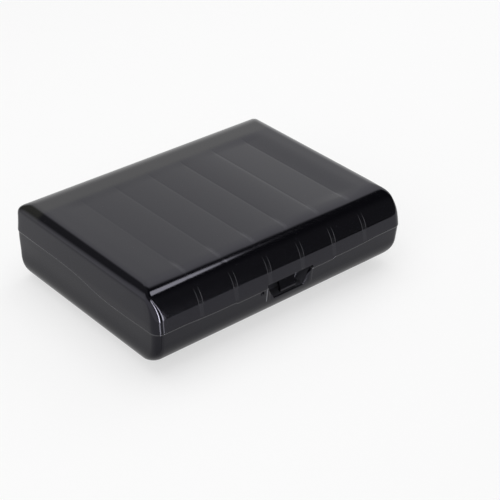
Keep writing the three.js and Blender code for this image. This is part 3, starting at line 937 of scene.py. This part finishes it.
def build_bin(case, index, settings):
    """A bin as one moulding: outside, rounded rim, grooved inside and floor."""
    centre = (index - (BAYS - 1) / 2) * BAY_PITCH
    corner, rim = settings.corner / MM, settings.rim / MM
    xs = list(centre + spaced(-7.2, 7.2, 0.45))
    spots = []
    for place in DIVIDER_PLACES:
        spots += [(place - GROOVE_HALF, 0.05, 0.05), (place + GROOVE_HALF, 0.05, 0.05)]
    ys = dense_places(-28.4, 44, 2.0, spots)
    plan = side_rings(xs, ys, corner_steps=5, spread=(0.5,))
    growth = NOTCH_BACKING + BIN_NOTCH_GAP if abs(centre) < 1.5 * BAY_PITCH else 0
    inside_growth = growth + BIN_WALL if growth else 0
    inside_half = BIN_HALF - BIN_WALL
    inside_inset = BIN_INSET + BIN_WALL
    count = plan.shape[1]
    rings = []

    def outside(z, inset=0.0):
        level = np.full(count, float(z))
        drawn = growth + inset if growth else 0
        rings.append(bin_ring(case, plan, centre, level, BIN_INSET + inset, BIN_HALF - inset, corner, drawn))

    def inside(z, inset=0.0):
        level = np.full(count, float(z))
        radius = max(corner - BIN_WALL + inset, 0.5)
        placed = (inside_inset + inset, inside_half - inset, radius, inside_growth, GROOVE_DEPTH)
        rings.append(bin_ring(case, plan, centre, level, *placed))

    for height in BIN_INSET + (BIN_TOP - rim - BIN_INSET) * (1 - np.cos(np.linspace(0, math.pi / 2, 26))):
        edge = curve_in(0.9, 0.9, height - BIN_INSET)
        outside(height, float(edge))
    for pull, height in rounded_edge(3)[1:]:
        outside(BIN_TOP - rim * height, rim * pull)
    for pull, height in rounded_edge(3)[::-1]:
        inside(BIN_TOP - rim * height, -rim * pull if pull else 0.0)
    low = inside_inset
    for height in low + (BIN_TOP - rim - low) * (1 - np.cos(np.linspace(math.pi / 2, 0, 22)))[1:]:
        inside(height)
    return loft(f"bin_{index + 1}_tray", rings, merge=0.0005)


def build_divider(case, bay, row, settings):
    """A plate with softened edges and a finger scoop in its top."""
    centre = (bay - (BAYS - 1) / 2) * BAY_PITCH
    y = DIVIDER_PLACES[row]
    half = DIVIDER_HALF
    heights = np.linspace(DIVIDER_TOP, DIVIDER_LOW, 36)
    limit = case.end.reach(case, heights, BIN_INSET + BIN_WALL - GROOVE_DEPTH + 0.3)
    left = [(max(centre - half, -r), z) for z, r in zip(heights, limit)]
    right = [(min(centre + half, r), z) for z, r in zip(heights[::-1], limit[::-1])]
    width, depth = settings.scoop_width / MM, settings.scoop_depth / MM
    scoop = []
    for step in range(21):
        angle = math.pi * step / 20
        scoop.append((centre + width / 2 * math.cos(angle), DIVIDER_TOP - depth * math.sin(angle)))
    outline = np.array(left + right + scoop)
    keep = np.linalg.norm(outline - np.roll(outline, 1, axis=0), axis=1) > 1e-6
    outline = outline[keep]
    rings = []
    for place in (y - DIVIDER_THICKNESS / 2, y + DIVIDER_THICKNESS / 2):
        rings.append(np.column_stack([outline[:, 0], np.full(len(outline), place), outline[:, 1]]))
    item = loft(f"divider_{bay + 1}_{row + 1}_plate", rings)
    bevel = item.modifiers.new("Softened edges", "BEVEL")
    bevel.width = 0.12 * MM
    bevel.segments = 2
    bevel.limit_method = "ANGLE"
    bevel.angle_limit = math.radians(50)
    apply_modifiers(item)
    shade(item)
    return item


# Materials


class Value:
    """A number socket that works in Python expressions: each operator adds one Math node."""

    def __init__(self, graph, socket):
        self.graph = graph
        self.socket = socket

    def __add__(self, other):
        return self.graph.maths("ADD", self, other)

    def __sub__(self, other):
        return self.graph.maths("SUBTRACT", self, other)

    def __rsub__(self, other):
        return self.graph.maths("SUBTRACT", other, self)

    def __mul__(self, other):
        return self.graph.maths("MULTIPLY", self, other)

    def __truediv__(self, other):
        return self.graph.maths("DIVIDE", self, other)

    def __rtruediv__(self, other):
        return self.graph.maths("DIVIDE", other, self)

    def __abs__(self):
        return self.graph.maths("ABSOLUTE", self)

    __radd__ = __add__
    __rmul__ = __mul__


class Graph:
    """A node tree that is filled by calls."""

    def __init__(self, tree):
        self.tree = tree
        tree.nodes.clear()

    def node(self, kind, settings=None, inputs=None, output=0):
        """Adds a node: its settings first, then its sockets' values or links. Gives the chosen output."""
        node = self.tree.nodes.new(kind)
        for name, value in (settings or {}).items():
            if name == "stops":
                self.set_stops(node.color_ramp, value)
            else:
                setattr(node, name, value)
        for name, value in (inputs or {}).items():
            socket = node.inputs[name]
            if isinstance(value, Value):
                self.tree.links.new(value.socket, socket)
            else:
                socket.default_value = value
        return Value(self, node.outputs[output]) if len(node.outputs) else node

    @staticmethod
    def set_stops(ramp, stops):
        while len(ramp.elements) < len(stops):
            ramp.elements.new(1)
        for element, (place, colour) in zip(ramp.elements, stops):
            element.position = place
            element.color = colour

    def maths(self, operation, *values):
        return self.node("ShaderNodeMath", {"operation": operation}, dict(enumerate(values)))

    def mix(self, share, low, high):
        """A colour between two colours."""
        inputs = {0: share, 6: low, 7: high}
        return self.node("ShaderNodeMix", {"data_type": "RGBA"}, inputs, 2)

    def noise(self, place, scale, detail=3.0, roughness=0.5):
        inputs = {"Vector": place, "Scale": scale, "Detail": detail, "Roughness": roughness}
        return self.node("ShaderNodeTexNoise", {}, inputs)

    def stretch(self, place, scale):
        return self.node("ShaderNodeVectorMath", {"operation": "MULTIPLY"}, {0: place, 1: scale})

    def place(self):
        """The place of each point on its own object, in metres."""
        return self.node("ShaderNodeTexCoord", {}, {}, "Object")

    def split(self, vector):
        """The three parts of a vector."""
        first = self.node("ShaderNodeSeparateXYZ", {}, {"Vector": vector}, "X")
        return [Value(self, socket) for socket in first.socket.node.outputs]

    def ramp(self, value, low, high, to_low=0.0, to_high=1.0):
        """A smooth step of a value between two places."""
        inputs = {"Value": value, "From Min": low, "From Max": high, "To Min": to_low, "To Max": to_high}
        return self.node("ShaderNodeMapRange", {"interpolation_type": "SMOOTHSTEP"}, inputs)

    def fall(self, value, low, high):
        """1 below the first place, 0 above the second."""
        return 1 - self.ramp(value, low, high)

    def band(self, value, rise_low, rise_high, fall_low, fall_high):
        """1 between two soft edges, 0 outside them."""
        return self.ramp(value, rise_low, rise_high) * self.fall(value, fall_low, fall_high)

    def degrees(self, operation, *values):
        return self.maths(operation, *values) * (180 / math.pi)

    def ray_shares(self):
        """Share of rays that see a surface directly or through glass, and share that mirror it."""
        path = "ShaderNodeLightPath"
        direct = self.node(path, {}, {}, "Is Camera Ray") + self.node(path, {}, {}, "Is Transmission Ray")
        direct = self.maths("MINIMUM", direct, 1.0)
        return direct, self.node(path, {}, {}, "Is Glossy Ray") * (1 - direct)

    def bump(self, height, distance, strength=1.0, normal=None):
        inputs = {"Height": height, "Distance": distance, "Strength": strength}
        if normal:
            inputs["Normal"] = normal
        return self.node("ShaderNodeBump", {}, inputs)

    def surface(self, inputs):
        shader = self.node("ShaderNodeBsdfPrincipled", {}, inputs)
        self.node("ShaderNodeOutputMaterial", {}, {"Surface": shader})


def new_material(name):
    material = bpy.data.materials.new(name)
    material.use_nodes = True
    return material, Graph(material.node_tree)


def tinted(colour, factor):
    return tuple(c * factor for c in colour) + (1.0,)


def painted_front_highlights(graph, x, y, z, flow, beside):
    """Share of painted highlights: pale lines beside each rib and a streak along it down the front, a painted sheen on
    its crest on the top, and painted highlights on the lips of the thumb notch.
    """
    ribbed = graph.fall(abs(x), *RIBBED_HALF)
    bay = x * (1 / (BAY_PITCH * MM)) - 0.5
    gap = abs(bay - graph.maths("ROUND", bay)) * BAY_PITCH
    lines = graph.band(gap, *LINE_GAPS) * graph.band(z, *LINE_HEIGHTS) * (LINE_SHARES[0] + LINE_SHARES[1] * flow)
    streak = graph.fall(gap, *STREAK_GAPS) * graph.band(z, *STREAK_HEIGHTS) * STREAK_SHARE
    crest = graph.fall(gap, *CREST_GAPS) * graph.band(y, *CREST_PLACES) * graph.ramp(z, *CREST_HEIGHTS) * CREST_SHARE
    # Painted highlight on the lips of the thumb notch, stronger on the left lip than on the right.
    lip = graph.band(beside, *(RECESS_HALF + edge for edge in LIP_EDGES))
    lip = lip * graph.band(z, *LIP_HEIGHTS) * graph.fall(y, *LIP_PLACES)
    lip = lip * graph.ramp(x, *LIP_SIDES) * (0.6 + 0.6 * flow)
    return ribbed * (graph.fall(y, *FRONT_PLACES) * (lines + streak) + crest) + lip


def painted_rim_highlight(graph, parting, x, y, z):
    """1 on a hair-thin line just below the parting line: a painted highlight along the base's edge."""
    size = abs(x) * 1000
    depth = y * 1000 - BARREL_SHIFT
    step = PARTING_RISE / (1 + graph.maths("EXPONENT", (STEP_PLACE - depth) * (1 / STEP_SPREAD)))
    middle = graph.fall(size, CENTRE_DROP_HALF - CENTRE_DROP_BLEND, CENTRE_DROP_HALF + CENTRE_DROP_BLEND)
    middle = middle * graph.fall(depth, *CENTRE_DROP_END) * CENTRE_DROP
    climb = graph.maths("MAXIMUM", graph.maths("MINIMUM", (size - CLIMB_START) * (1 / CLIMB_LENGTH), 1.0), 0.0)
    line = parting + step - middle + CLIMB * climb * climb * graph.fall(depth, *CLIMB_END)
    return graph.band(line - z * 1000, *RIM_HIGHLIGHT_BAND)


def shell_material(shell):
    """Polished black polystyrene: faint flow, fine waviness, hairlines and a little dust, with painted light on the
    rear of the top and in the notch pocket, and painted highlights at the ribs, the notch lips and the parting line.
    """
    material, graph = new_material("Polished black plastic")
    place = graph.place()
    haze = graph.noise(place, 38, 4, 0.55)
    flow = graph.noise(graph.stretch(place, (30, 9, 22)), 1.0, 3)
    along = graph.noise(graph.stretch(place, (40, 2600, 900)), 1.0, 1)
    across = graph.noise(graph.stretch(place, (1900, 30, 700)), 1.0, 1)
    hairs = graph.ramp(along, 0.70, 0.78) + graph.ramp(across, 0.71, 0.79)
    cells = graph.node("ShaderNodeTexVoronoi", {}, {"Vector": place, "Scale": 620.0}, "Distance")
    patch = graph.noise(place, 70, 2)
    dust = graph.fall(cells, 0.05, 0.11) * graph.ramp(patch, 0.55, 0.66)
    colour = graph.mix(flow, tinted(shell.colour, 0.85), tinted(shell.colour, 1.2))
    x, y, z = graph.split(place)
    # Painted light: the rear of the lid's top is coloured lighter than the black shell.
    painted_rear_light = graph.ramp(y, *REAR_BAND_PLACES) * graph.ramp(z, *REAR_BAND_HEIGHTS)
    colour = graph.mix(painted_rear_light, colour, REAR_PAINTED_LIGHT_COLOUR)
    beside = abs(x - NOTCH_PLACE * MM) * 1000
    narrow = graph.fall(beside, *NARROW_HALF)
    # Painted light: the inside of the notch pocket behind its front edge is coloured a lighter grey than the shell; on
    # the tongue this colour starts further back.
    on_tongue = graph.fall(beside, TONGUE_HALF, TONGUE_HALF + 0.2) * graph.ramp(z, *TONGUE_HEIGHTS)
    pocket = narrow * graph.ramp(y - on_tongue * TONGUE_SHIFT, *POCKET_FRONT) * graph.fall(y, *POCKET_BACK)
    colour = graph.mix(pocket * graph.band(z, *POCKET_HEIGHTS), colour, POCKET_PAINTED_LIGHT_COLOUR)
    # Painted highlight along the base's edge below the parting line, left out at the notch.
    rim = painted_rim_highlight(graph, shell.parting / MM, x, y, z) * (1 - narrow) * (0.16 + 0.2 * flow)
    # Painted highlights: pale marks beside the ribs, on the notch lips and along the parting line.
    colour = graph.mix(painted_front_highlights(graph, x, y, z, flow, beside) + rim, colour, PAINTED_HIGHLIGHT_COLOUR)
    colour = graph.mix(dust * 0.15, colour, DUST_COLOUR)
    roughness = shell.gloss + haze * 0.035 + hairs * 0.03 + dust * 0.3
    skin = graph.noise(place, 420, 2)
    wave = graph.noise(place, 55, 1)
    normal = graph.bump(skin, 0.0000012, 1.0)
    normal = graph.bump(wave, 0.00002, 1.0, normal)
    graph.surface({
        "Base Color": colour, "Roughness": roughness, "Normal": normal, "IOR": SHELL_IOR,
        "Metallic": 0.0, "Specular Tint": SHELL_TINT,
    })
    return material


def bin_material(colour, name, gloss):
    """Satin polypropylene: flow marks, a fine moulded texture and scuffs along the rims."""
    material, graph = new_material(name)
    place = graph.place()
    cloud = graph.noise(place, 60, 4, 0.6)
    streaks = graph.noise(graph.stretch(place, (260, 34, 60)), 1.0, 3)
    grain = graph.noise(place, 2600, 2)
    scuffs = graph.ramp(graph.noise(graph.stretch(place, (240, 1500, 900)), 1.0, 2), 0.66, 0.78)
    edges = graph.node("ShaderNodeNewGeometry", {}, {}, "Pointiness")
    wear = graph.ramp(edges, 0.53, 0.62)
    colour_low, colour_high = tinted(colour, 0.93), tinted(colour, 1.05)
    mixed = graph.mix(cloud * 0.6 + streaks * 0.4, colour_low, colour_high)
    mixed = graph.mix(wear * 0.25, mixed, tinted(colour, 1.15))
    roughness = gloss + cloud * 0.1 - scuffs * 0.08 - wear * 0.06
    height = grain * 0.6 + streaks * 0.3 + scuffs * 0.4
    normal = graph.bump(height, 0.00002, 0.8)
    graph.surface({"Base Color": mixed, "Roughness": roughness, "Normal": normal, "IOR": 1.49})
    return material


def pin_material(pin):
    """Drawn steel wire: fine lines along the pin and darker, oiled spots over it."""
    material, graph = new_material("Drawn steel")
    place = graph.place()
    lines = graph.noise(graph.stretch(place, (60, 5200, 5200)), 1.0, 3)
    spots = graph.ramp(graph.noise(place, 900, 3), 0.56, 0.7)
    colour = graph.mix(lines, tinted(pin.colour, 0.82), tinted(pin.colour, 1.12))
    colour = graph.mix(spots * 0.3, colour, tinted(pin.colour, 0.45))
    roughness = 0.22 + lines * 0.14 + spots * 0.15
    normal = graph.bump(lines, 0.00001, 0.7)
    graph.surface({"Base Color": colour, "Roughness": roughness, "Normal": normal, "Metallic": 1.0})
    return material


def finish_piece(item, body, slot, material, *nodes):
    item.data.materials.clear()
    item.data.materials.append(material)
    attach(item, body)
    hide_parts(*nodes)


def shared_material(name, make):
    return bpy.data.materials.get(name) or make()


# Operators


class ORGANIZER_OT_base(bpy.types.Operator):
    """Builds the base shell with its lip, ribs, thumb notch and hinge ears"""

    bl_idname = "organizer.base"
    bl_label = "Base shell"

    def execute(self, context):
        shell = settings_of(context)[0]
        item = build_base(Case(shell))
        material = shared_material("Polished black plastic", lambda: shell_material(shell))
        finish_piece(item, "base", "black_shell", material, "base_shell")
        return {"FINISHED"}


class ORGANIZER_OT_lid(bpy.types.Operator):
    """Builds the lid shell with its ribs, snap tongue and hinge knuckles"""

    bl_idname = "organizer.lid"
    bl_label = "Lid shell"

    def execute(self, context):
        shell = settings_of(context)[0]
        item = build_lid(Case(shell))
        material = shared_material("Polished black plastic", lambda: shell_material(shell))
        finish_piece(item, "lid", "black_shell", material, "lid_shell")
        return {"FINISHED"}


class ORGANIZER_OT_pins(bpy.types.Operator):
    """Builds the two hinge pins"""

    bl_idname = "organizer.pins"
    bl_label = "Hinge pins"

    def execute(self, context):
        pin = settings_of(context)[2]
        material = pin_material(pin)
        for place in HINGE_PLACES:
            side = "left" if place < 0 else "right"
            finish_piece(build_pin(place, pin), "base", "pin_steel", material, f"hinge_pin_{side}")
        return {"FINISHED"}


class ORGANIZER_OT_bins(bpy.types.Operator):
    """Builds the seven lift-out bins"""

    bl_idname = "organizer.bins"
    bl_label = "Bins"

    def execute(self, context):
        shell, bins = settings_of(context)[:2]
        material = bin_material(bins.bin_colour, "Satin white plastic", 0.36)
        case = Case(shell)
        for index in range(BAYS):
            finish_piece(build_bin(case, index, bins), "base", "bin_plastic", material, f"bin_{index + 1}")
        return {"FINISHED"}


class ORGANIZER_OT_dividers(bpy.types.Operator):
    """Builds the slide-in dividers, three to a bin"""

    bl_idname = "organizer.dividers"
    bl_label = "Dividers"

    def execute(self, context):
        shell, bins = settings_of(context)[:2]
        material = bin_material(bins.divider_colour, "Grey divider plastic", 0.3)
        case = Case(shell)
        for bay in range(BAYS):
            for row in range(len(DIVIDER_PLACES)):
                item = build_divider(case, bay, row, bins)
                finish_piece(item, "base", "divider_plastic", material, f"divider_{bay + 1}_{row + 1}")
        return {"FINISHED"}


class ORGANIZER_OT_stage(bpy.types.Operator):
    """Sets up the table, the soft lamps, the sky and the camera"""

    bl_idname = "organizer.stage"
    bl_label = "Stage"

    def execute(self, context):
        studio = settings_of(context)[3]
        place_camera(context.scene, studio)
        build_table(studio)
        build_lamps(studio)
        build_sky(context.scene, studio)
        view = context.scene.view_settings
        view.view_transform = "Standard"
        return {"FINISHED"}


def place_camera(scene, studio):
    """The camera looks down at the case from its front left corner."""
    a, e, r = studio.azimuth, studio.elevation, studio.roll
    back = Vector((math.sin(a) * math.cos(e), -math.cos(a) * math.cos(e), math.sin(e)))
    right = Vector((math.cos(a), math.sin(a), 0))
    up = back.cross(right)
    turned_right = right * math.cos(r) + up * math.sin(r)
    turned_up = up * math.cos(r) - right * math.sin(r)
    target = Vector((0, BARREL_SHIFT, CAMERA_TARGET_HEIGHT))
    target += turned_right * CAMERA_OFFSET[0] + turned_up * CAMERA_OFFSET[1]
    place = (target + back * CAMERA_DISTANCE) * MM
    data = bpy.data.cameras.new("camera")
    data.lens = studio.lens
    data.sensor_width = 36
    data.clip_start = 0.01
    camera = bpy.data.objects.new("camera", data)
    matrix = Matrix((turned_right, turned_up, back)).transposed().to_4x4()
    matrix.translation = place
    camera.matrix_world = matrix
    scene.collection.objects.link(camera)
    scene.camera = camera


def build_table(studio):
    """A pale table top that ends a little in front of the case."""
    front, rear, side = studio.front_edge / MM, 1600.0, 1500.0
    points = [(-side, front, 0), (side, front, 0), (side, rear, 0), (-side, rear, 0)]
    mesh = bpy.data.meshes.new("table")
    mesh.from_pydata([tuple(c * MM for c in p) for p in points], [], [(0, 1, 2, 3)])
    table = bpy.data.objects.new("table", mesh)
    bpy.context.scene.collection.objects.link(table)
    material, graph = new_material("Pale table")
    direct, glossy = graph.ray_shares()
    x, y, _ = graph.split(graph.place())
    half_x, half_y = CONTACT_HALF
    # Painted shadow: the mirrored table darkens close to the case, a little more off its left end, and under it.
    out_x = graph.maths("MAXIMUM", abs(x) - half_x, 0.0)
    out_y = graph.maths("MAXIMUM", abs(y) - half_y, 0.0)
    away = graph.maths("SQRT", out_x * out_x + out_y * out_y)
    near = graph.ramp(x, *CONTACT_DARK)
    shine = TABLE_SHINE * (1 - near * graph.maths("EXPONENT", away * (-1 / CONTACT_REACH)))
    under = graph.maths("MINIMUM", half_x - abs(x), half_y - abs(y))
    shine = shine * (1 - 0.5 * graph.ramp(under, *UNDERSIDE_EDGE))
    # A painted shadow wedge and two painted bright streaks run out from the near corner, and the front edge fades
    # along a curve.
    turn = graph.degrees("ARCTAN2", x + half_x, -60 * MM - y)
    wedge = graph.band(turn, *TABLE_WEDGE) * graph.fall(y, *WEDGE_START)
    streaks = sum(strength * graph.band(turn, *edges) for strength, edges in TABLE_STREAKS)
    dimmed = FADE_CURVE * graph.ramp(x, *FADE_CURVE_RISE) * graph.ramp(x, *FADE_CURVE_FALL)
    shine = shine * (1 - wedge * WEDGE_DARK) * graph.ramp(y - dimmed, *TABLE_FADE)
    shine = shine + streaks * graph.ramp(away, *STREAK_START)
    share = direct * TABLE_SEEN + glossy
    matte = graph.node("ShaderNodeBsdfDiffuse", {}, {"Color": (0.9, 0.9, 0.9, 1)})
    glow = graph.node("ShaderNodeEmission", {}, {"Color": (1, 1, 1, 1), "Strength": direct + glossy * shine})
    shader = graph.node("ShaderNodeMixShader", {}, {0: share, 1: matte, 2: glow})
    graph.node("ShaderNodeOutputMaterial", {}, {"Surface": shader})
    mesh.materials.append(material)
    table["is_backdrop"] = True


LAMPS = (
    ("lamp_above", (0.0, 0.05, 0.9), 1.1, 1.0),
    ("lamp_left", (-0.85, -0.35, 0.6), 0.8, 0.45),
    ("lamp_right", (0.8, 0.3, 0.55), 0.8, 0.35),
)


def build_lamps(studio):
    """Large soft lamps, which polished faces don't mirror."""
    for name, place, size, share in LAMPS:
        data = bpy.data.lights.new(name, "AREA")
        data.shape = "DISK"
        data.size = size
        data.energy = studio.lamp_power * share
        lamp = bpy.data.objects.new(name, data)
        lamp.location = place
        lamp.rotation_euler = (Vector((0, 0, 0.02)) - Vector(place)).to_track_quat("-Z", "Y").to_euler()
        lamp.visible_glossy = False
        lamp.visible_camera = False
        bpy.context.scene.collection.objects.link(lamp)


def lamp_direction(azimuth, elevation):
    a, e = math.radians(azimuth), math.radians(elevation)
    return math.sin(a) * math.cos(e), math.cos(a) * math.cos(e), math.sin(e)


def build_sky(scene, studio):
    """White for the camera; for polished faces two pale panels, a round lamp, slim strips and a dim room."""
    world = bpy.data.worlds.new("studio")
    scene.world = world
    world.use_nodes = True
    graph = Graph(world.node_tree)
    x, y, z = graph.split(graph.node("ShaderNodeTexCoord", {}, {}, "Generated"))
    azimuth = graph.degrees("ARCTAN2", x, y)
    elevation = graph.degrees("ARCSINE", z)
    turn = graph.degrees("ARCTAN2", z, y)
    slant, middle = REAR_PANEL_SLANT
    rear = graph.band(azimuth, *REAR_PANEL_SIDES) * graph.fall(turn - slant * (x - middle), *REAR_PANEL_TOP)
    rear = rear * graph.ramp(azimuth, *REAR_PANEL_ALONG) * graph.ramp(elevation, *REAR_PANEL_UP)
    left = graph.band(azimuth, *LEFT_PANEL_SIDES) * graph.fall(elevation, *LEFT_PANEL_TOP)
    strips = sum(strength * graph.band(azimuth, *edges) for strength, edges in STRIPS)
    strips = strips * graph.band(elevation, *STRIP_HEIGHTS)
    centre = lamp_direction(*ROUND_LAMP_PLACE)
    along = x * centre[0] + y * centre[1] + z * centre[2]
    lamp = graph.fall(graph.degrees("ARCCOSINE", graph.maths("MINIMUM", along, 1.0)), *ROUND_LAMP_EDGE)
    room = ROOM - ROOM_DIP[0] * graph.ramp(azimuth, *ROOM_DIP[1]) + ROOM_RISE[0] * graph.ramp(azimuth, *ROOM_RISE[1])
    shine = room + REAR_PANEL * rear + LEFT_PANEL * left + strips + ROUND_LAMP * lamp
    direct, glossy = graph.ray_shares()
    soft = (1 - direct) * (1 - glossy) * studio.fill
    strength = direct + glossy * shine + soft
    background = graph.node("ShaderNodeBackground", {}, {"Color": (1, 1, 1, 1), "Strength": strength})
    graph.node("ShaderNodeOutputWorld", {}, {"Surface": background})


# Panel and registration

OPERATORS = (
    ORGANIZER_OT_stage,
    ORGANIZER_OT_base,
    ORGANIZER_OT_lid,
    ORGANIZER_OT_pins,
    ORGANIZER_OT_bins,
    ORGANIZER_OT_dividers,
)


class ORGANIZER_PT_panel(bpy.types.Panel):
    bl_label = "Bin organizer case"
    bl_idname = "ORGANIZER_PT_panel"
    bl_space_type = "VIEW_3D"
    bl_region_type = "UI"
    bl_category = "Organizer"

    def draw(self, context):
        for group in settings_of(context):
            box = self.layout.box()
            for name in group.__annotations__:
                box.prop(group, name)
        for operator in OPERATORS:
            self.layout.operator(operator.bl_idname)


GROUPS = {
    "organizer_shell": ShellSettings,
    "organizer_bin": BinSettings,
    "organizer_pin": PinSettings,
    "organizer_studio": StudioSettings,
}
CLASSES = (*GROUPS.values(), *OPERATORS, ORGANIZER_PT_panel)


def register():
    for item in CLASSES:
        bpy.utils.register_class(item)
    for name, group in GROUPS.items():
        setattr(bpy.types.Scene, name, PointerProperty(type=group))


def unregister():
    for name in GROUPS:
        delattr(bpy.types.Scene, name)
    for item in reversed(CLASSES):
        bpy.utils.unregister_class(item)


def main():
    register()
    bpy.ops.organizer.stage()
    bpy.ops.organizer.base()
    bpy.ops.organizer.lid()
    bpy.ops.organizer.pins()
    bpy.ops.organizer.bins()
    bpy.ops.organizer.dividers()
    boxes = {"cad": CAD_BOX, "visual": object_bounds()}
    {name: [list(corner) for corner in box] for name, box in boxes.items()}


if __name__ == "__main__":
    main()
